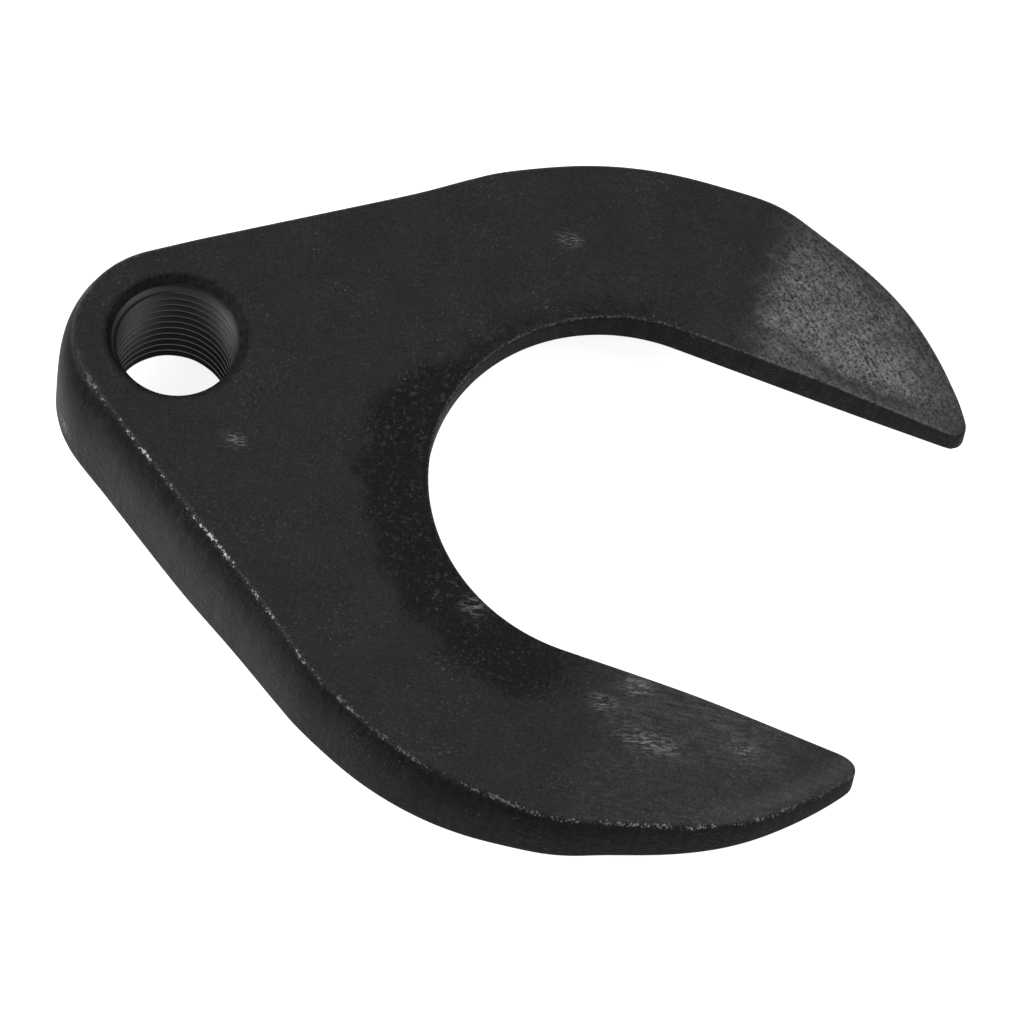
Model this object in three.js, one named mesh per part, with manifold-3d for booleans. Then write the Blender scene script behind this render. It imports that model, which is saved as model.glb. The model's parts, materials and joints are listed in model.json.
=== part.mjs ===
// Slide-hammer puller fork: one steel forging with a threaded eye, a tapering neck and two prongs
// around a U-shaped slot. Millimetres, +Z up.
//
// The fork is drawn level first: the bore axis is Z through the origin, the flat top face is z = 0,
// and the prongs point along +X. It is then laid down as it lies on a bench, on the heel of its
// neck and the tips of its prongs.

import * as THREE from 'three';
import { ParametricGeometry } from 'three/addons/geometries/ParametricGeometry.js';
import { mergeVertices } from 'three/addons/utils/BufferGeometryUtils.js';
import Module from 'manifold-3d';

// Threaded eye, 5/8-18 UNF
const threadRadius = 7.94;
const threadPitch = 1.411;
const threadDepth = 0.5413 * threadPitch;
const topCountersink = 8.48;
const topCountersinkAngle = THREE.MathUtils.degToRad(31);
const bottomCountersink = 8.4;
const bottomCountersinkAngle = THREE.MathUtils.degToRad(45);
const eyeThickness = 19.05;
const eyeRadius = 12.65;

// Neck and prongs, seen from above
const neckHalfAngle = THREE.MathUtils.degToRad(35);
const crescentCentreX = 55.8;
const crescentRadius = 44.8;
const prongBulgeRadius = 46.0;
const slotCentreX = 56.9;
const slotRadius = 23.4;
const tipRadius = 1.4;
const topEdgeRound = 0.85;

// Outer walls: below the rounded top edge they flare out, then drop straight
const flareStart = 1.1;
const flareDepth = 7.5;
const flareWidth = 0.85;

// Thickness, seen from the side
const tipX = 94.2;
const tipDepth = 8.0;
const tipSlopeStartX = 70;
const tipSlope = 0.14;
const heelX = 11;
const undersideDepths = [
  [heelX, eyeThickness], [15, 18.4], [20, 17.5], [27.5, 15.8], [32, 15.2], [37, 14.7], [44, 13.6],
  [51, 12.5], [56, 11.5], [61, 9.8], [66, 8.9], [73, 9.0], [80, 8.3], [85, 7.95], [tipX, tipDepth],
];

// Bevel under the slot: the slot wall is short, and the underside rises to it
const slotWallAtEye = 3.8;
const slotWallSlope = 0.065;
const underBevel = 13;

const outlineSteps = 14;
const threadSlices = 28;
const overcut = 4;

const kernel = await Module();
kernel.setup();

// A closed three.js geometry as a manifold solid.
function solid(geometry) {
  const bare = geometry.clone();
  bare.deleteAttribute('normal');
  bare.deleteAttribute('uv');
  const merged = mergeVertices(bare, 1e-5);
  const corners = merged.index.array;
  const triangles = [];
  for (let i = 0; i < corners.length; i += 3) {
    const [a, b, c] = corners.subarray(i, i + 3);
    if (a !== b && b !== c && c !== a) triangles.push(a, b, c);
  }
  return new kernel.Manifold(new kernel.Mesh({
    numProp: 3,
    vertProperties: new Float32Array(merged.attributes.position.array),
    triVerts: new Uint32Array(triangles),
  }));
}

// A manifold solid back as a flat-shaded three.js geometry.
function geometryOf(body) {
  const mesh = body.getMesh();
  const geometry = new THREE.BufferGeometry();
  geometry.setAttribute('position', new THREE.BufferAttribute(new Float32Array(mesh.vertProperties), 3));
  geometry.setIndex(new THREE.BufferAttribute(new Uint32Array(mesh.triVerts), 1));
  return geometry;
}

// Where the neck's straight edge runs into the crescent, on the +Y side.
function neckMeetsCrescent() {
  const start = new THREE.Vector2(-Math.sin(neckHalfAngle), Math.cos(neckHalfAngle))
    .multiplyScalar(eyeRadius);
  const along = new THREE.Vector2(Math.cos(neckHalfAngle), Math.sin(neckHalfAngle));
  const toCentre = new THREE.Vector2(crescentCentreX, 0).sub(start);
  const nearest = toCentre.dot(along);
  const miss = toCentre.lengthSq() - nearest * nearest;
  return start.addScaledVector(along, nearest - Math.sqrt(crescentRadius ** 2 - miss));
}

// Plan outline of one half of the crescent: out along the arc, round the tip, back along the slot.
function prongOutline() {
  const join = neckMeetsCrescent();
  const joinAngle = Math.atan2(join.y, join.x - crescentCentreX);
  const tipCentre = new THREE.Vector2(0, slotRadius + tipRadius);
  const reach = Math.sqrt((prongBulgeRadius - tipRadius) ** 2 - tipCentre.y ** 2);
  tipCentre.x = crescentCentreX + reach;
  const tipAngle = Math.atan2(tipCentre.y, reach);
  const points = [];
  for (let i = 0; i <= 2 * outlineSteps; i++) {
    const t = i / (2 * outlineSteps);
    const angle = THREE.MathUtils.lerp(joinAngle, tipAngle, t);
    const swell = THREE.MathUtils.smoothstep(angle, tipAngle, Math.PI / 2);
    const radius = THREE.MathUtils.lerp(prongBulgeRadius, crescentRadius, swell);
    points.push(new THREE.Vector2(crescentCentreX + radius * Math.cos(angle), radius * Math.sin(angle)));
  }
  const tipTurn = 6;
  for (let i = 1; i <= tipTurn; i++) {
    const angle = THREE.MathUtils.lerp(tipAngle, -Math.PI / 2, i / tipTurn);
    points.push(new THREE.Vector2(Math.cos(angle), Math.sin(angle)).multiplyScalar(tipRadius).add(tipCentre));
  }
  for (let i = 0; i <= outlineSteps; i++) {
    const angle = Math.PI / 2 * (1 + i / outlineSteps);
    points.push(new THREE.Vector2(Math.cos(angle), Math.sin(angle)).multiplyScalar(slotRadius)
      .add(new THREE.Vector2(slotCentreX, 0)));
  }
  return points;
}

// Plan outline of the whole fork: eye, neck, and the two prongs mirrored in the X axis.
function forkOutline() {
  const upper = prongOutline();
  const lower = upper.slice(0, -1).reverse().map((p) => new THREE.Vector2(p.x, -p.y));
  const eye = [];
  for (let i = 0; i <= outlineSteps; i++) {
    const angle = THREE.MathUtils.lerp(Math.PI * 1.5 - neckHalfAngle, Math.PI / 2 + neckHalfAngle, i / outlineSteps);
    eye.push(new THREE.Vector2(eyeRadius * Math.cos(angle), eyeRadius * Math.sin(angle)));
  }
  return new THREE.Shape([...upper, ...lower, ...eye].reverse());
}

// The slot seen from above, open past the prong tips.
function slotOutline() {
  const openX = tipX + 3 * underBevel;
  const slot = new THREE.Shape();
  slot.moveTo(openX, slotRadius);
  slot.lineTo(openX, -slotRadius);
  slot.lineTo(slotCentreX, -slotRadius);
  slot.absarc(slotCentreX, 0, slotRadius, -Math.PI / 2, Math.PI / 2, true);
  return slot;
}

// The outline drawn down through the whole thickness: rounded top edges, and below them outer
// walls that flare to their full width. The slot keeps its straight walls.
function planBlank() {
  const rounded = new THREE.ExtrudeGeometry(forkOutline(), {
    depth: eyeThickness + overcut - topEdgeRound,
    bevelThickness: topEdgeRound,
    bevelSize: topEdgeRound,
    bevelOffset: -topEdgeRound,
    bevelSegments: 2,
  });
  const flared = new THREE.ExtrudeGeometry(forkOutline(), {
    depth: eyeThickness,
    bevelThickness: flareDepth,
    bevelSize: flareWidth,
    bevelSegments: 1,
  });
  const slot = new THREE.ExtrudeGeometry(slotOutline(), {
    depth: eyeThickness + 2 * overcut,
    bevelEnabled: false,
    curveSegments: 2 * outlineSteps,
  });
  return solid(rounded.translate(0, 0, -eyeThickness - overcut))
    .add(solid(flared.translate(0, 0, -eyeThickness - flareDepth - flareStart)))
    .subtract(solid(slot.translate(0, 0, -eyeThickness - overcut)));
}

// The side view drawn across the whole width: flat top, sloping tips, rising underside.
function sideBlank() {
  const backX = -eyeRadius - overcut;
  const frontX = tipX + overcut;
  const underside = new THREE.SplineCurve(undersideDepths.map(([x, depth]) => new THREE.Vector2(x, -depth)));
  const bend = new THREE.QuadraticBezierCurve(
    new THREE.Vector2(tipSlopeStartX + overcut, -overcut * tipSlope),
    new THREE.Vector2(tipSlopeStartX, 0),
    new THREE.Vector2(tipSlopeStartX - overcut, 0),
  );
  const profile = new THREE.Shape([
    new THREE.Vector2(backX, -eyeThickness),
    ...underside.getPoints(outlineSteps),
    new THREE.Vector2(frontX, -tipDepth),
    new THREE.Vector2(frontX, (tipSlopeStartX - frontX) * tipSlope),
    ...bend.getPoints(outlineSteps / 2),
    new THREE.Vector2(backX, 0),
  ]);
  const halfWidth = prongBulgeRadius + overcut;
  const blank = new THREE.ExtrudeGeometry(profile, { depth: 2 * halfWidth, bevelEnabled: false });
  return solid(blank.rotateX(Math.PI / 2).translate(0, halfWidth, 0));
}

// What the underside loses round the slot: the slot's outline, widening at 45 degrees as it goes down.
function underBevelCutter() {
  const cutter = new THREE.ExtrudeGeometry(slotOutline(), {
    depth: overcut,
    bevelThickness: underBevel,
    bevelSize: underBevel,
    bevelSegments: 1,
    curveSegments: 2 * outlineSteps,
  });
  const slotEyeX = slotCentreX - slotRadius;
  cutter.translate(-slotEyeX, 0, -overcut - underBevel);
  cutter.rotateY(Math.atan(slotWallSlope));
  return solid(cutter.translate(slotEyeX, 0, -slotWallAtEye));
}

// The cutting tool for the bore: a thread-cutting tap, with flats on its crests and roots.
function tap() {
  const rowsPerTurn = [0, 0.125, 0.4375, 0.6875];
  const bottom = -eyeThickness - overcut;
  const turns = Math.ceil((overcut - bottom) / threadPitch) + 1;
  const rows = turns * rowsPerTurn.length;
  const minorRadius = threadRadius - threadDepth;
  const shape = (u, v, target) => {
    const row = Math.round(v * (rows + 2)) - 1;
    const turn = Math.floor(row / rowsPerTurn.length);
    const step = row - turn * rowsPerTurn.length;
    const height = bottom + threadPitch * (turn - 1 + rowsPerTurn[step] + u);
    const z = THREE.MathUtils.clamp(height, bottom, overcut);
    const onThread = height > bottom && height < overcut && step < 2;
    const onAxis = row < 0 || row > rows;
    const radius = onAxis ? 0 : onThread ? threadRadius : minorRadius;
    target.set(radius * Math.cos(2 * Math.PI * u), radius * Math.sin(2 * Math.PI * u), z);
  };
  return solid(new ParametricGeometry(shape, threadSlices, rows + 2));
}

// A countersinking cutter for a mouth of the bore, on its point; the angle is from its axis to its side.
function countersink(mouthRadius, angle) {
  const widening = Math.tan(angle);
  const profile = [
    new THREE.Vector2(0, -mouthRadius / widening),
    new THREE.Vector2(mouthRadius + overcut * widening, overcut),
    new THREE.Vector2(0, overcut),
  ];
  return new THREE.LatheGeometry(profile, 2 * threadSlices).rotateX(Math.PI / 2);
}

// Laid on the bench: turned about Y until heel and tips both touch it, then centred over the origin.
function layDown(geometry) {
  geometry.rotateY(Math.atan2(eyeThickness - tipDepth, tipX - heelX));
  geometry.computeBoundingBox();
  const { min, max } = geometry.boundingBox;
  geometry.translate(-(min.x + max.x) / 2, -(min.y + max.y) / 2, -min.z);
  return geometry;
}

function pullerFork() {
  const body = planBlank()
    .intersect(sideBlank())
    .subtract(underBevelCutter())
    .subtract(tap())
    .subtract(solid(countersink(topCountersink, topCountersinkAngle)))
    .subtract(solid(countersink(bottomCountersink, bottomCountersinkAngle)
      .rotateX(Math.PI).translate(0, 0, -eyeThickness)));
  const blackenedSteel = new THREE.MeshStandardMaterial({ color: 0x2b2b2b, roughness: 0.55, metalness: 0.7 });
  const fork = new THREE.Mesh(layDown(geometryOf(body)), blackenedSteel);
  fork.name = 'puller_fork';
  return fork;
}

const model = new THREE.Group();
model.add(pullerFork());

export default model;
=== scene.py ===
"""Looks for the slide hammer puller fork: a fine mesh of the forging and its worn black-oxide steel.

The fork is drawn level, in millimetres, as it is machined: the bore axis is Z through the origin,
the top face is z = 0 and the prongs point along +X. LEVEL_TO_ROW then lays it where the CAD has it.
"""
import json
import math

import bpy
import numpy as np
from mathutils import Matrix, Vector, noise
from mathutils.geometry import delaunay_2d_cdt


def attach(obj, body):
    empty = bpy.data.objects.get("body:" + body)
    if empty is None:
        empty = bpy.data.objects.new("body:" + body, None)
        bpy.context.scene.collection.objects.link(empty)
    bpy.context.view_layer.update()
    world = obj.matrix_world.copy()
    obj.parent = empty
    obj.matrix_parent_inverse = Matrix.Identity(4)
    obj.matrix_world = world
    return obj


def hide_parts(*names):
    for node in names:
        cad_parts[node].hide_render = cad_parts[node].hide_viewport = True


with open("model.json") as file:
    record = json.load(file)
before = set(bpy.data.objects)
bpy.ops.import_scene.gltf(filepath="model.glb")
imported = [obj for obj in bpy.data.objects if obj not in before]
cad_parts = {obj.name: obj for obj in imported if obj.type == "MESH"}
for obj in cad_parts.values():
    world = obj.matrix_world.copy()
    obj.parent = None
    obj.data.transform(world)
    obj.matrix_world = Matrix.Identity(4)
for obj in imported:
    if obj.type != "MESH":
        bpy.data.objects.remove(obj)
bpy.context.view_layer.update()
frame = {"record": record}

MM = 0.001
NODE = "puller_fork"

# Plan of the fork, as in the CAD
EYE_RADIUS, NECK_ANGLE = 12.65, math.radians(35)
CRESCENT_X, CRESCENT_RADIUS, PRONG_RADIUS = 55.8, 44.8, 46.0
SLOT_X, SLOT_RADIUS, TIP_RADIUS, TIP_X = 56.9, 23.4, 1.4, 94.2

# Side view of the fork, as in the CAD
EYE_THICKNESS = 19.05
UNDERSIDE_X = [-40, 11, 15, 20, 27.5, 32, 37, 44, 51, 56, 61, 66, 73, 80, 85, TIP_X, 120]
UNDERSIDE_DEPTH = [EYE_THICKNESS, EYE_THICKNESS, 18.4, 17.5, 15.8, 15.2, 14.7, 13.6, 12.5, 11.5, 9.8, 8.9,
                   9.0, 8.3, 7.95, 8.0, 8.0]
TIP_SLOPE_X, TIP_SLOPE = 70.0, 0.14
SLOT_WALL_AT_EYE, SLOT_WALL_SLOPE = 3.8, 0.065

# Bore: 5/8-18 UNF
THREAD_MAJOR, THREAD_MINOR, PITCH = 7.94, 7.176, 1.411
MOUTH_TOP, MOUTH_TOP_SLOPE = 8.48, 0.6
MOUTH_BOTTOM, MOUTH_BOTTOM_SLOPE = 8.4, 1.0

OUTLINE_STEP = 0.42
FACE_STEP = 0.58
FACE_MOUNT_X = 13.0


# ---------------------------------------------------------------- frame of the forging

def level_to_row():
    """The level drawing's place in the row frame, read from the CAD's flat face beside the bore."""
    face = next(m for m in frame["record"]["mounts"] if m["name"] == "eye_top_face")
    tilt = math.atan2(face["axis"][0], face["axis"][2])
    turn = Matrix.Rotation(tilt, 4, "Y")
    bore = Vector(face["pos_m"]) - turn @ Vector((FACE_MOUNT_X * MM, 0, 0))
    return Matrix.Translation(bore) @ turn @ Matrix.Scale(MM, 4)


LEVEL_TO_ROW = level_to_row()


def smoothstep(low, high, x):
    t = np.clip((np.asarray(x, float) - low) / (high - low), 0, 1)
    return t * t * (3 - 2 * t)


def bump(x, centre, width):
    return np.exp(-((np.asarray(x, float) - centre) / width) ** 2)


def grain(points, scale, seed=0.0, octaves=3):
    """Smooth noise in about -1..1 at each point; scale is the size of its largest lumps in mm."""
    offset = Vector((seed, 2.3 * seed, 5.1 * seed))
    return np.array([noise.fractal(Vector(p) / scale + offset, 0.7, 2.0, octaves) for p in points])


# ---------------------------------------------------------------- plan outline

def outer_radius(angle):
    """Outer radius of a prong about the crescent's centre; angle is in degrees from +X."""
    return (CRESCENT_RADIUS + (PRONG_RADIUS - CRESCENT_RADIUS) * smoothstep(76, 50, angle)
            + 0.7 * bump(angle, 80, 7))


def half_outline():
    """The +Y half of the outline, from the slot's round end to the eye's end, as dense points."""
    centre_y = SLOT_RADIUS + TIP_RADIUS
    reach = math.sqrt((PRONG_RADIUS - TIP_RADIUS) ** 2 - centre_y ** 2)
    tip_angle = math.atan2(centre_y, reach)
    turn = np.linspace(math.pi, math.pi / 2, 300)
    slot = np.c_[SLOT_X + SLOT_RADIUS * np.cos(turn), SLOT_RADIUS * np.sin(turn)]
    side = np.c_[np.linspace(SLOT_X, CRESCENT_X + reach, 200), np.full(200, SLOT_RADIUS)]
    turn = np.linspace(-math.pi / 2, tip_angle, 60)
    tip = np.c_[CRESCENT_X + reach + TIP_RADIUS * np.cos(turn), centre_y + TIP_RADIUS * np.sin(turn)]
    join = neck_join_angle()
    turn = np.linspace(tip_angle, join, 600)
    radius = outer_radius(np.degrees(turn))
    arc = np.c_[CRESCENT_X + radius * np.cos(turn), radius * np.sin(turn)]
    turn = np.linspace(math.pi / 2 + NECK_ANGLE, math.pi, 120)
    eye = np.c_[EYE_RADIUS * np.cos(turn), EYE_RADIUS * np.sin(turn)]
    neck = arc[-1] + (eye[0] - arc[-1]) * np.linspace(0, 1, 200)[:, None]
    return np.vstack([slot, side[1:], tip[1:], arc[1:], neck[1:], eye[1:]])


def neck_join_angle():
    """Angle about the crescent's centre where the neck's straight side meets the crescent."""
    along = np.array([math.cos(NECK_ANGLE), math.sin(NECK_ANGLE)])
    start = np.array([-EYE_RADIUS * along[1], EYE_RADIUS * along[0]])
    to_centre = np.array([CRESCENT_X, 0]) - start
    nearest = to_centre @ along
    miss = to_centre @ to_centre - nearest ** 2
    join = start + along * (nearest - math.sqrt(CRESCENT_RADIUS ** 2 - miss))
    return math.atan2(join[1], join[0] - CRESCENT_X)


def resample(points, step, smooth):
    """A closed line at even steps, its corners eased over a length of about `smooth`."""
    closed = np.vstack([points, points[:1]])
    length = np.r_[0, np.cumsum(np.hypot(*np.diff(closed, axis=0).T))]
    count = int(round(length[-1] / step))
    at = np.linspace(0, length[-1], count, endpoint=False)
    line = np.c_[np.interp(at, length, closed[:, 0]), np.interp(at, length, closed[:, 1])]
    for _ in range(int(smooth)):
        line = 0.5 * line + 0.25 * (np.roll(line, 1, axis=0) + np.roll(line, -1, axis=0))
    return line


def fork_outline():
    upper = half_outline()
    lower = upper[-2:0:-1] * [1, -1]
    line = resample(np.vstack([upper, lower]), OUTLINE_STEP, 4)
    shoulder = 0.45 * bump(line[:, 0], 27.5, 4.5) * (slot_distance(*line.T) > 5)
    return line + outward(line) * shoulder[:, None]


def outward(line):
    along = np.roll(line, -1, axis=0) - np.roll(line, 1, axis=0)
    along /= np.hypot(*along.T)[:, None]
    return np.c_[along[:, 1], -along[:, 0]]


# ---------------------------------------------------------------- top and underside as height fields

def slot_distance(x, y):
    """Distance outwards from the slot's edge, at its round end and along its straight sides."""
    return np.where(x < SLOT_X, np.hypot(x - SLOT_X, y) - SLOT_RADIUS, np.abs(y) - SLOT_RADIUS)


def top_height(x, y):
    inner = np.clip(slot_distance(x, y), 0, None)
    slope = TIP_SLOPE * 3.0 * np.logaddexp(0, (x - TIP_SLOPE_X) / 3.0)
    hollow = 0.35 * smoothstep(9, 0, inner) * smoothstep(78, 64, x)
    far = np.where(y > 0, 1.0, 0.0) * smoothstep(54, 74, x) * 0.8 * smoothstep(8, 0, inner)
    rim = PRONG_RADIUS - np.hypot(x - CRESCENT_X, y)
    bevel = np.where(y < 0, 0.5, 0.0) * smoothstep(3.4, 0.6, rim) * smoothstep(76, 84, x)
    return -(slope + hollow + far + bevel)


def underside_height(x, y):
    depth = sum(np.interp(x + shift, UNDERSIDE_X, UNDERSIDE_DEPTH) for shift in (-3, -1.5, 0, 1.5, 3)) / 5
    depth = depth + 0.4 * bump(x, 23, 4)
    bevel = SLOT_WALL_AT_EYE + SLOT_WALL_SLOPE * (x - (SLOT_X - SLOT_RADIUS))
    bevel = bevel + np.clip(slot_distance(x, y), 0, None)
    blend = 0.5
    return blend * np.logaddexp(-depth / blend, -bevel / blend)


# ---------------------------------------------------------------- mesh of the forging

class Skin:
    """Collects points and faces of one mesh, with named values on each point."""

    def __init__(self):
        self.points, self.faces, self.values = [], [], {}
        self.count = 0

    def add(self, points, **values):
        start = self.count
        self.points.append(np.asarray(points, float))
        self.count += len(points)
        for name in ("edge", "slot_edge", "wall", "bore"):
            value = values.get(name, 0.0)
            self.values.setdefault(name, []).append(np.broadcast_to(value, (len(points),)).astype(float))
        return np.arange(start, self.count)

    def strip(self, ring_a, ring_b, closed=True):
        """Quads between two rings of the same length, facing so that a-to-b turns left of the ring."""
        a2 = np.roll(ring_a, -1)
        b2 = np.roll(ring_b, -1)
        quads = np.c_[ring_a, a2, b2, ring_b]
        self.faces.extend((quads if closed else quads[:-1]).tolist())


def inside(points, loop):
    """Which points lie inside a closed loop, by crossings."""
    result = np.zeros(len(points), bool)
    px, py = points[:, 0], points[:, 1]
    for (x1, y1), (x2, y2) in zip(loop, np.roll(loop, -1, axis=0)):
        crosses = (y1 > py) != (y2 > py)
        if crosses.any():
            at = x1 + (py[crosses] - y1) * (x2 - x1) / (y2 - y1)
            hit = np.flatnonzero(crosses)[px[crosses] < at]
            result[hit] ^= True
    return result


def distance_to(points, line):
    """Distance from each point to the nearest point of a dense line, and that point's index."""
    best = np.full(len(points), np.inf)
    index = np.zeros(len(points), int)
    for start in range(0, len(points), 2000):
        part = points[start:start + 2000]
        d = np.hypot(part[:, None, 0] - line[None, :, 0], part[:, None, 1] - line[None, :, 1])
        index[start:start + 2000] = d.argmin(1)
        best[start:start + 2000] = d.min(1)
    return best, index


def fill(skin, outer_ids, hole_ids, height, step, upward, **values):
    """Fills a face between an outer ring and a hole ring with an even net of points."""
    all_points = np.vstack(skin.points)
    outer, hole = all_points[outer_ids, :2], all_points[hole_ids, :2]
    low, high = outer.min(0), outer.max(0)
    xs = np.arange(low[0], high[0], step)
    ys = np.arange(low[1], high[1], step * 0.866)
    grid = np.array([(x + (0.5 * step if row % 2 else 0), y) for row, y in enumerate(ys) for x in xs])
    grid = grid[inside(grid, outer)]
    grid = grid[distance_to(grid, outer)[0] > 0.55 * step]
    grid = grid[distance_to(grid, hole)[0] > 0.55 * step]
    grid = grid[np.hypot(*grid.T) > np.hypot(*hole.T).min()]
    ids = skin.add(np.c_[grid, height(grid[:, 0], grid[:, 1])], **values)
    flat = np.vstack([outer, hole, grid])
    names = np.r_[outer_ids, hole_ids, ids]
    n, m = len(outer), len(hole)
    edges = [(i, (i + 1) % n) for i in range(n)] + [(n + i, n + (i + 1) % m) for i in range(m)]
    _, _, triangles, origin, _, _ = delaunay_2d_cdt([Vector(p) for p in flat], edges, [], 0, 1e-7)
    origin = np.array([o[0] for o in origin])
    tri = origin[np.array(triangles)]
    centre = flat[tri].mean(1)
    keep = inside(centre, outer) & ~inside(centre, hole)
    tri = tri[keep]
    a, b, c = flat[tri[:, 0]], flat[tri[:, 1]], flat[tri[:, 2]]
    area = (b[:, 0] - a[:, 0]) * (c[:, 1] - a[:, 1]) - (b[:, 1] - a[:, 1]) * (c[:, 0] - a[:, 0])
    tri[(area < 0) == upward] = tri[(area < 0) == upward][:, ::-1]
    skin.faces.extend(names[tri].tolist())


def edge_round(line):
    """Radius of the rounding along the top edge: heavy round the eye, slight round the slot."""
    x, y = line[:, 0], line[:, 1]
    slot = slot_distance(x, y) < 0.3
    outer = 0.8 + 0.4 * smoothstep(-1, -9, x)
    tip = smoothstep(TIP_X - 1.5, TIP_X - 4, x)
    return np.where(slot, 0.32, 0.32 + (outer - 0.32) * tip)


def wall_flare(line, depth):
    """How far the outer wall stands out from the outline, at a depth below the top edge."""
    x, y = line[:, 0], line[:, 1]
    away = smoothstep(0.2, 2.5, slot_distance(x, y))
    width = 0.4 + 0.45 * smoothstep(80, 45, x) + 0.3 * smoothstep(30, 10, x) + 0.35 * smoothstep(-3, -10, x)
    return away * width * (1 - np.exp(-np.clip(depth, 0, None) / 2.8))


def walls(skin, line):
    """Rounded top edge, wall and rounded bottom edge; returns the inner rings at top and bottom."""
    normal = outward(line)
    x, y = line[:, 0], line[:, 1]
    slot = slot_distance(x, y) < 0.3
    top_r = edge_round(line)
    bottom_r = np.where(slot, 0.3, 1.1 - 0.5 * smoothstep(74, 88, x) + 1.2 * smoothstep(-4, -11, x))
    rings = []
    for turn in np.linspace(0, math.pi / 2, 7):
        inset = top_r * (1 - math.sin(turn))
        place = line - normal * inset[:, None]
        base = top_height(*(line - normal * top_r[:, None]).T)
        z = base - top_r * (1 - math.cos(turn))
        worn = math.sin(2 * turn)
        edge, slot_edge = np.where(slot, 0, worn), np.where(slot, worn, 0)
        rings.append(skin.add(np.c_[place, z], edge=edge, slot_edge=slot_edge, wall=math.sin(turn) ** 2))
    top_z = z
    bottom_place = line - normal * bottom_r[:, None]
    bottom_z = underside_height(*bottom_place.T) + bottom_r
    rows = 22
    for k in range(1, rows):
        t = k / rows
        z = top_z + (bottom_z - top_z) * t
        place = line + normal * wall_flare(line, top_z - z)[:, None]
        rings.append(skin.add(np.c_[place, z], wall=1.0))
    bulge = wall_flare(line, top_z - bottom_z)
    for turn in np.linspace(0, math.pi / 2, 6):
        inset = bottom_r * (1 - math.cos(turn)) - bulge * math.cos(turn)
        place = line - normal * inset[:, None]
        z = bottom_z - bottom_r * math.sin(turn)
        rings.append(skin.add(np.c_[place, z], wall=math.cos(turn) ** 2))
    for upper, lower in zip(rings[:-1], rings[1:]):
        skin.strip(upper[::-1], lower[::-1])
    return rings[0], rings[-1]


def thread_radius(turn):
    """Radius of the threaded wall; turn counts pitches, and its fraction runs over one groove."""
    t = np.mod(turn, 1.0)
    groove, flank, crest = 0.125, 0.3125, 0.25
    rise = np.clip((t - groove) / flank, 0, 1)
    fall = np.clip((t - groove - flank - crest) / flank, 0, 1)
    return THREAD_MAJOR - (THREAD_MAJOR - THREAD_MINOR) * (rise - fall)


def bore(skin, slices=144, rows_per_turn=12):
    """The threaded bore with its two countersinks, on rows that follow the helix."""
    turns = math.ceil(EYE_THICKNESS / PITCH) + 1
    rows = turns * rows_per_turn
    row, col = np.meshgrid(np.arange(rows + 1), np.arange(slices + 1), indexing="ij")
    phase = row / rows_per_turn - 1
    height = -EYE_THICKNESS + PITCH * (phase + col / slices)
    z = np.clip(height, -EYE_THICKNESS, 0)
    radius = np.where(z == height, thread_radius(phase), THREAD_MINOR)
    radius = np.maximum(radius, MOUTH_TOP + MOUTH_TOP_SLOPE * z)
    radius = np.maximum(radius, MOUTH_BOTTOM - MOUTH_BOTTOM_SLOPE * (z + EYE_THICKNESS))
    angle = 2 * math.pi * col / slices
    points = np.c_[(radius * np.cos(angle)).ravel(), (radius * np.sin(angle)).ravel(), z.ravel()]
    keys = np.round(points, 5)
    _, first, back = np.unique(keys, axis=0, return_index=True, return_inverse=True)
    back = back.ravel()
    threaded = (radius.ravel() <= THREAD_MAJOR) & (z.ravel() < -1.2)
    ids = skin.add(points[first], bore=threaded[first], wall=1.0)
    grid = ids[back].reshape(rows + 1, slices + 1)
    a, b = grid[:-1, :-1].ravel(), grid[:-1, 1:].ravel()
    c, d = grid[1:, 1:].ravel(), grid[1:, :-1].ravel()
    for quad in zip(a, d, c, b):
        corners = [v for i, v in enumerate(quad) if v != quad[i - 1]]
        if len(set(corners)) >= 3:
            skin.faces.append([int(v) for v in corners])
    top_ring, bottom_ring = grid[-1, :-1], grid[0, :-1]
    return top_ring, bottom_ring


# Inside CUT_RADIUS the bore and its countersinks are cut metal, CUT_TONE times as light as a wall
CUT_RADIUS, CUT_TONE = 8.6, 1.7

# Scuffs on the top face: x, y, half length, half width
SCUFFS = [(66.6, -25, 1.6, 1.2), (70, -31.3, 3.6, 1.3), (63.5, -28.6, 1.6, 1.0), (80.5, -27.8, 1.6, 0.8),
          (45.1, -21.8, 1.2, 1.2), (40.6, 30.3, 1.3, 0.8), (11.4, -11.1, 1.2, 0.8)]

# How far the top edge is chipped bright, along X
CHIPPED_X = [-9, -6.5, -2, 4, 15, 27, 33, 45, 60, 66, 84, 92]
CHIPPED = [0.05, 0.5, 0.7, 1.0, 1.0, 0.7, 0.4, 0.3, 0.4, 0.7, 0.6, 0.2]


def painted_slot_shade_band(x, y, inner, ragged):
    """Painted shade round the slot: wide on the near side, narrow and faint on the far side."""
    width = 7.5 - 5.0 * smoothstep(0, 12, y)
    dark = smoothstep(width + 4.0, width - 2.5, inner + 1.5 * ragged) * smoothstep(66, 50, x)
    return dark * (1 - 0.45 * smoothstep(4, 16, y))


def far_tip_ground(x, y, inner, rim, ragged):
    """The ground end of the far prong: bright in its middle, with a dark valley beside the slot."""
    ground = smoothstep(63, 70, x + 1.8 * ragged) * smoothstep(0, 8, y)
    ground = ground * (0.25 + 0.75 * smoothstep(0, 7, rim + 0.9 * ragged))
    ground = ground * (0.5 + 0.5 * smoothstep(0, 4.5, inner))
    valley = 1.2 + 2.4 * smoothstep(78, 68, x)
    return ground * (1 - 0.65 * bump(inner + 0.3 * ragged, valley, 0.8) * smoothstep(91, 85, x))


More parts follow.
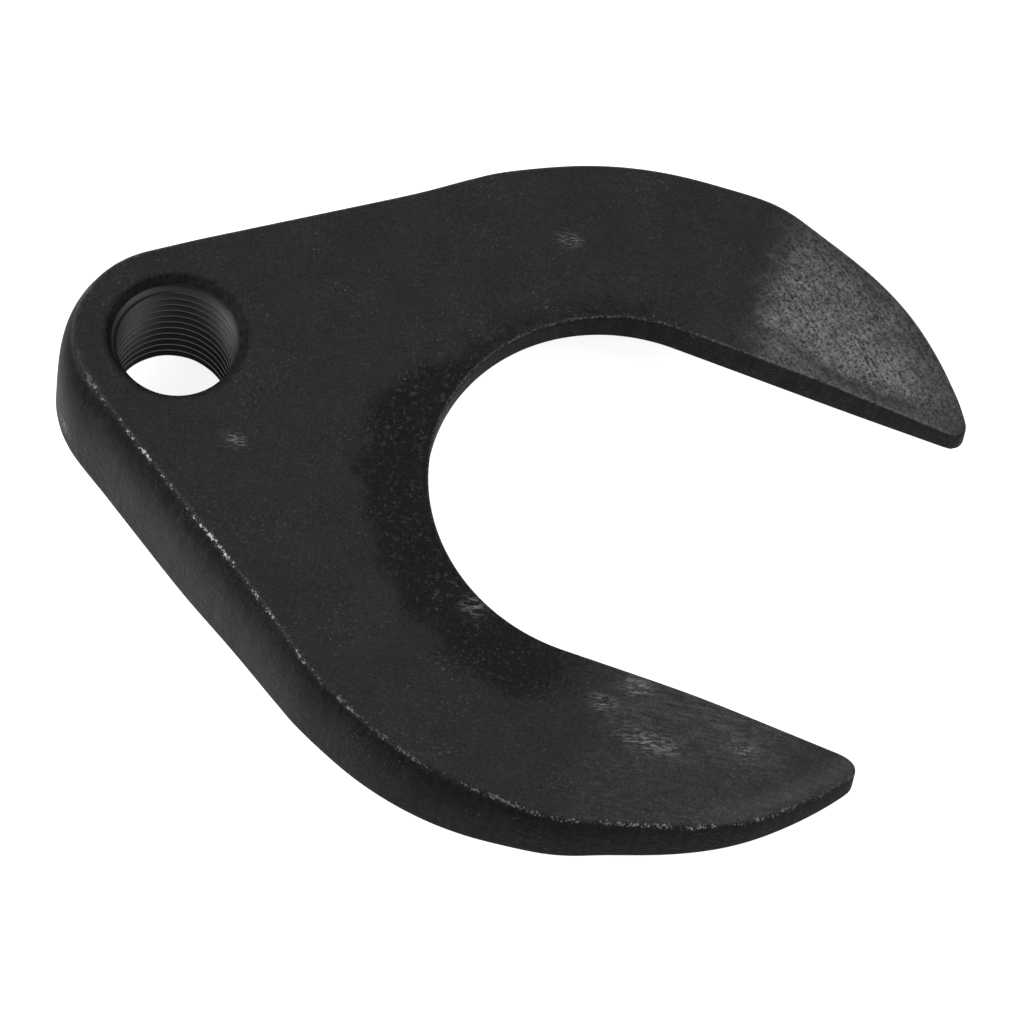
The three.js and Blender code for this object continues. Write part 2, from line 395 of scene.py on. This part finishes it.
def near_prong_brushed(x, y, inner, rim, ragged):
    """The brushed end of the near prong: a band beside the slot, a thin rim, and a dark patch."""
    band = smoothstep(61, 68, x) * smoothstep(9.5, 4, inner + ragged) * smoothstep(92, 82, x)
    middle = 0.4 * smoothstep(61, 66, x + ragged) * smoothstep(88, 78, x)
    rim_band = 0.55 * smoothstep(75, 82, x) * smoothstep(3.2, 1.4, rim)
    brushed = np.maximum(np.maximum(band, middle), rim_band)
    return brushed * (1 - bump(x, 88.5, 2.5) * bump(y, -27, 2))


def painted_wall_light_and_cut_tone(x, y, z, near_side):
    """Painted light and shade on the walls: lighter towards their foot and darker along the crescent; the
    countersinks are cut clean, a lighter tone of their own.
    """
    crescent = smoothstep(10, 48, x) * near_side
    # painted light towards the wall's foot and painted shade along the near crescent
    painted_wall_light = 0.66 + 0.2 * crescent + (0.5 - 0.3 * crescent) * smoothstep(-2, -14, z)
    return np.where(np.hypot(x, y) < CUT_RADIUS, CUT_TONE, painted_wall_light * (1 - 0.42 * crescent))


def zones(level):
    """Where the finish changes over the fork, and where light and shade are painted on it: a value on every
    point, from 0 to 1 but for the walls' tone.
    """
    x, y, z = level.T
    inner = np.clip(slot_distance(x, y), 0, None)
    rim = PRONG_RADIUS - np.hypot(x - CRESCENT_X, y)
    on_top = smoothstep(-1.5, -0.5, z - top_height(x, y))
    near_side = smoothstep(2, -2, y)
    ragged = grain(level, 4, 3)
    scuff = sum(bump(x, cx, length) * bump(y, cy, width) for cx, cy, length, width in SCUFFS)
    end_scuff = 0.8 * bump(x, -10.5, 1.4) * bump(y, -9, 1.4) * bump(z, -14, 0.9)
    chipped = np.interp(x, CHIPPED_X, CHIPPED) * (0.3 + 0.7 * near_side)
    chipped = chipped + 0.9 * bump(x, -10, 3) * bump(y, 6.5, 3.5)
    # the slot value is painted shade round the slot, not a change in the scale
    return {"slot_shade": painted_slot_shade_band(x, y, inner, ragged) * on_top,
            "far_tip": far_tip_ground(x, y, inner, rim, ragged) * on_top,
            "brushed": near_prong_brushed(x, y, inner, rim, ragged) * on_top * near_side,
            "scuff": scuff * on_top + end_scuff,
            "chipped": chipped,
            # painted light and shade on the walls, and the lighter tone of the cut countersinks
            "wall_light_and_cut_tone": painted_wall_light_and_cut_tone(x, y, z, near_side),
            "cut": smoothstep(8.52, 8.40, np.hypot(x, y))}


def forging_mesh():
    """The whole fork as one closed mesh, in the row frame, with the values that its wear, and its painted
    light and shade, are painted by.
    """
    skin = Skin()
    line = fork_outline()
    top_ring, bottom_ring = walls(skin, line)
    bore_top, bore_bottom = bore(skin)
    fill(skin, top_ring, bore_top, top_height, FACE_STEP, True)
    fill(skin, bottom_ring, bore_bottom, underside_height, 2 * FACE_STEP, False)
    level = np.vstack(skin.points)
    matrix = np.array(LEVEL_TO_ROW)
    placed = level @ matrix[:3, :3].T + matrix[:3, 3]
    mesh = bpy.data.meshes.new("forged_fork")
    mesh.from_pydata(placed.tolist(), [], skin.faces)
    mesh.update()
    for name, parts in skin.values.items():
        layer = mesh.attributes.new(name, "FLOAT", "POINT")
        layer.data.foreach_set("value", np.concatenate(parts))
    for name, value in zones(level).items():
        mesh.attributes.new(name, "FLOAT", "POINT").data.foreach_set("value", value)
    layer = mesh.attributes.new("level", "FLOAT_VECTOR", "POINT")
    layer.data.foreach_set("vector", level.ravel())
    mesh.shade_smooth()
    mesh.set_sharp_from_angle(angle=math.radians(38))
    return mesh


def forged_fork():
    piece = bpy.data.objects.new("forged_fork", forging_mesh())
    bpy.context.scene.collection.objects.link(piece)
    piece.data.materials.append(blackened_steel())
    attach(piece, "root")
    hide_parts(NODE)
    return piece


# ---------------------------------------------------------------- materials

BORE_TONE, MARK_TONE, BARE_TONE = 0.052, 0.2, 0.32


class Paint:
    """Short ways to add and join the nodes of one material."""

    def __init__(self, name):
        self.material = bpy.data.materials.new(name)
        self.material.use_nodes = True
        self.tree = self.material.node_tree
        self.shader = self.tree.nodes["Principled BSDF"]

    def put(self, socket, value):
        if isinstance(value, bpy.types.NodeSocket):
            self.tree.links.new(value, socket)
        else:
            socket.default_value = value

    def attribute(self, name, output="Fac"):
        node = self.tree.nodes.new("ShaderNodeAttribute")
        node.attribute_name = name
        return node.outputs[output]

    def math(self, operation, a, b=0.0, c=0.0, clamp=False):
        node = self.tree.nodes.new("ShaderNodeMath")
        node.operation, node.use_clamp = operation, clamp
        for socket, value in zip(node.inputs, (a, b, c)):
            self.put(socket, value)
        return node.outputs[0]

    def product(self, *values):
        result = values[0]
        for value in values[1:]:
            result = self.math("MULTIPLY", result, value)
        return result

    def remap(self, value, low, high, new_low=0.0, new_high=1.0):
        node = self.tree.nodes.new("ShaderNodeMapRange")
        for name, number in (("Value", value), ("From Min", low), ("From Max", high),
                             ("To Min", new_low), ("To Max", new_high)):
            self.put(node.inputs[name], number)
        return node.outputs["Result"]

    def mix(self, share, a, b):
        node = self.tree.nodes.new("ShaderNodeMix")
        node.data_type = "FLOAT"
        for socket, value in zip(node.inputs[:4], (share, None, a, b)):
            if value is not None:
                self.put(socket, value)
        return node.outputs[0]

    def stretched(self, place, turn, size):
        """Coordinates whose unit is `size` long along, across and through a direction in the XY plane."""
        node = self.tree.nodes.new("ShaderNodeMapping")
        node.vector_type = "TEXTURE"
        self.put(node.inputs["Vector"], place)
        node.inputs["Rotation"].default_value = (0, 0, math.radians(turn))
        node.inputs["Scale"].default_value = size
        return node.outputs["Vector"]

    def noise(self, place, scale, detail=2.0, roughness=0.5):
        node = self.tree.nodes.new("ShaderNodeTexNoise")
        self.put(node.inputs["Vector"], place)
        node.inputs["Scale"].default_value = scale
        node.inputs["Detail"].default_value = detail
        node.inputs["Roughness"].default_value = roughness
        return node.outputs["Fac"]

    def bump(self, height, strength, distance, normal=None):
        node = self.tree.nodes.new("ShaderNodeBump")
        node.inputs["Strength"].default_value = strength
        node.inputs["Distance"].default_value = distance
        self.put(node.inputs["Height"], height)
        if normal is not None:
            self.put(node.inputs["Normal"], normal)
        return node.outputs["Normal"]


class Finish(Paint):
    """The worn black-oxide steel: its noises and zones, and the tones that are made from them."""

    def __init__(self):
        super().__init__("blackened_steel")
        self.place = self.attribute("level", "Vector")
        self.wall, self.bore, self.cut = (self.attribute(name) for name in ("wall", "bore", "cut"))
        self.mottle = self.mix(self.cut, self.noise(self.place, 0.9, 4, 0.7), 0.5)
        self.fine = self.mix(self.cut, self.noise(self.place, 3.4, 3, 0.8), 0.5)
        self.grainy = self.product(self.remap(self.mottle, 0.3, 0.7, 0.65, 1.35),
                                   self.remap(self.fine, 0.32, 0.68, 0.5, 1.5))
        # the walls' painted light and shade, and the lighter cut countersinks
        self.wall_light_and_cut_tone = self.mix(self.wall, 1.0, self.attribute("wall_light_and_cut_tone"))
        # painted shade round the slot, mottled
        self.slot_shade = self.mottled_slot_shade()

    def streaked(self, direction, size, detail):
        return self.noise(self.stretched(self.place, direction, size), 1.0, *detail)

    def mottled_slot_shade(self):
        zone = self.attribute("slot_shade")
        mottled = self.math("ADD", zone, self.remap(self.mottle, 0.3, 0.7, -0.35, 0.35))
        return self.product(self.remap(mottled, 0.2, 0.8), self.remap(zone, 0, 0.2))

    def oxide(self):
        """Black scale, with painted shade round the slot and painted light and shade on the walls, and the
        forge's upright lines on the walls.
        """
        lumps = self.noise(self.place, 0.16, 3)
        lines = self.streaked(0, (0.65, 0.65, 9), (3, 0.6))
        return self.product(self.remap(lumps, 0.3, 0.7, 0.0105, 0.0155), self.grainy,
                            self.remap(self.slot_shade, 0, 1, 1.0, 0.5),
                            self.mix(self.wall, 1.0, self.remap(lines, 0.35, 0.65, 0.4, 0.9)), self.wall_light_and_cut_tone)

    def light_marks(self):
        """Pale specks everywhere but in the cut bore, blotches round the slot, and dashed scuffs."""
        threshold = self.remap(self.noise(self.place, 0.12, 2), 0.35, 0.65, 0.65, 0.57)
        specks = self.remap(self.noise(self.place, 2.2, 4, 0.8), threshold, 0.72)
        blotches = self.remap(self.noise(self.place, 1.3, 4, 0.7), 0.56, 0.68)
        blotches = self.product(blotches, self.slot_shade, 0.25)
        specks = self.product(self.math("MAXIMUM", specks, blotches), self.remap(self.wall, 0, 1, 0.6, 0.3),
                              self.remap(self.cut, 0, 1, 1.0, 0.0))
        dashes = self.streaked(18, (1.1, 0.26, 1), (3, 0.7))
        scuffs = self.product(self.attribute("scuff"), self.remap(dashes, 0.5, 0.57))
        return self.math("MAXIMUM", specks, scuffs)

    def ground_metal(self):
        """The far prong's ground end: slanted grinding marks over fine dark pits."""
        marks = self.streaked(-36, (2.6, 0.3, 1), (4, 0.7))
        pits = self.remap(self.noise(self.place, 2.7, 3, 0.8), 0.40, 0.52, 0.18, 1.0)
        return self.product(pits, self.remap(marks, 0.3, 0.7, 0.07, 0.28),
                            self.remap(self.mottle, 0.3, 0.7, 0.6, 1.5))

    def brushed_metal(self):
        streaks = self.streaked(10, (3.2, 0.36, 1), (4, 0.7))
        return self.product(self.remap(streaks, 0.35, 0.65, 0.014, 0.058), self.grainy)

    def bare_edges(self):
        """Where the rounded edges are chipped through to bright steel, in a broken line."""
        chips = self.noise(self.place, 2.6, 3, 0.75)
        gaps = self.noise(self.place, 0.35, 2)
        worn = self.math("ADD", self.attribute("edge"), self.remap(chips, 0.38, 0.68, -1.1, 0.3))
        worn = self.math("ADD", worn, self.remap(gaps, 0.38, 0.62, -0.55, 0.1))
        worn = self.product(self.remap(worn, 0.42, 0.8), self.attribute("chipped"))
        slot_edge = self.product(self.attribute("slot_edge"), self.remap(chips, 0.42, 0.6), 0.25)
        return self.math("MAXIMUM", worn, slot_edge)

    def gloss(self):
        # less gloss in the painted shade round the slot, and scaled by the walls' painted light and shade
        return self.product(self.remap(self.wall, 0, 1, 0.37, 0.03),
                            self.remap(self.slot_shade, 0, 1, 1.0, 0.5),
                            self.remap(self.fine, 0.32, 0.68, 0.75, 1.25), self.wall_light_and_cut_tone,
                            self.remap(self.attribute("edge"), 0.2, 1, 1.0, 0.65))


def blackened_steel():
    """Black oxide on a forged skin, speckled, chipped bright on its edges and ground on the tips, with
    painted shade round the slot and painted light and shade on the walls.
    """
    finish = Finish()
    tip = finish.product(finish.attribute("far_tip"), finish.remap(finish.wall, 0.3, 0.7, 1.0, 0.0))
    brushed = finish.product(finish.attribute("brushed"), finish.remap(finish.wall, 0.2, 0.6, 1.0, 0.0))
    bare = finish.bare_edges()

    # the oxide's tone carries the painted shade round the slot and the painted light and shade on the walls
    tone = finish.mix(brushed, finish.oxide(), finish.brushed_metal())
    tone = finish.mix(tip, tone, finish.ground_metal())
    tone = finish.mix(finish.bore, tone, BORE_TONE)
    tone = finish.mix(finish.light_marks(), tone, MARK_TONE)
    tone = finish.mix(bare, tone, BARE_TONE)
    metal = finish.math("MAXIMUM", finish.product(tip, 0.5), finish.product(bare, 0.8))
    metal = finish.math("MAXIMUM", metal, finish.product(finish.bore, 0.9))
    grit = finish.bump(finish.fine, 0.45, 0.00008)

    finish.put(finish.shader.inputs["Base Color"], tone)
    finish.put(finish.shader.inputs["Metallic"], metal)
    finish.put(finish.shader.inputs["Roughness"], finish.remap(finish.fine, 0.2, 0.8, 0.40, 0.60))
    finish.put(finish.shader.inputs["Specular IOR Level"], finish.gloss())
    finish.put(finish.shader.inputs["Normal"], finish.bump(finish.mottle, 0.5, 0.00025, grit))
    return finish.material


def pale_floor():
    paint = Paint("pale_floor")
    paint.shader.inputs["Base Color"].default_value = (0.9, 0.9, 0.9, 1)
    paint.shader.inputs["Roughness"].default_value = 0.9
    paint.shader.inputs["Emission Color"].default_value = (1, 1, 1, 1)
    paint.shader.inputs["Emission Strength"].default_value = 0.84
    return paint.material


# ---------------------------------------------------------------- stage, lights and camera

def floor():
    mesh = bpy.data.meshes.new("floor")
    half = 3.0
    corners = [(-half, -half, 0), (half, -half, 0), (half, half, 0), (-half, half, 0)]
    mesh.from_pydata(corners, [], [(0, 1, 2, 3)])
    piece = bpy.data.objects.new("floor", mesh)
    bpy.context.scene.collection.objects.link(piece)
    mesh.materials.append(pale_floor())


def soft_light(name, place, target, size, power):
    data = bpy.data.lights.new(name, "AREA")
    data.shape = "RECTANGLE"
    data.size, data.size_y = size
    data.energy = power
    lamp = bpy.data.objects.new(name, data)
    lamp.location = place
    lamp.rotation_euler = (Vector(target) - Vector(place)).to_track_quat("-Z", "Y").to_euler()
    bpy.context.scene.collection.objects.link(lamp)


def lights():
    world = bpy.data.worlds.new("studio")
    world.use_nodes = True
    world.node_tree.nodes["Background"].inputs["Color"].default_value = (1, 1, 1, 1)
    world.node_tree.nodes["Background"].inputs["Strength"].default_value = 0.40
    bpy.context.scene.world = world
    soft_light("left_soft_box", (-0.7, -0.35, 0.45), (0, 0, 0), (0.5, 0.5), 6.0)
    soft_light("right_soft_box", (0.7, 0.05, 0.6), (0, 0, 0), (0.4, 0.4), 2.2)
    bpy.context.scene.view_settings.view_transform = "Standard"


VIEW_AZIMUTH, VIEW_ELEVATION, VIEW_ROLL = 20.000, 59.829, -2.514
VIEW_TARGET = Vector((0.005979, -0.007041, 0.012))
VIEW_DISTANCE, VIEW_LENS = 0.61161, 179.03


def camera():
    azimuth, elevation, roll = map(math.radians, (VIEW_AZIMUTH, VIEW_ELEVATION, VIEW_ROLL))
    turn = (Matrix.Rotation(azimuth, 4, "Z") @ Matrix.Rotation(math.pi / 2 - elevation, 4, "X")
            @ Matrix.Rotation(roll, 4, "Z"))
    data = bpy.data.cameras.new("camera")
    data.lens, data.sensor_width = VIEW_LENS, 36
    data.clip_start, data.clip_end = 0.01, 20
    piece = bpy.data.objects.new("camera", data)
    piece.matrix_world = Matrix.Translation(VIEW_TARGET) @ turn @ Matrix.Translation((0, 0, VIEW_DISTANCE))
    bpy.context.scene.collection.objects.link(piece)
    bpy.context.scene.camera = piece


camera()
lights()
floor()
forged_fork()
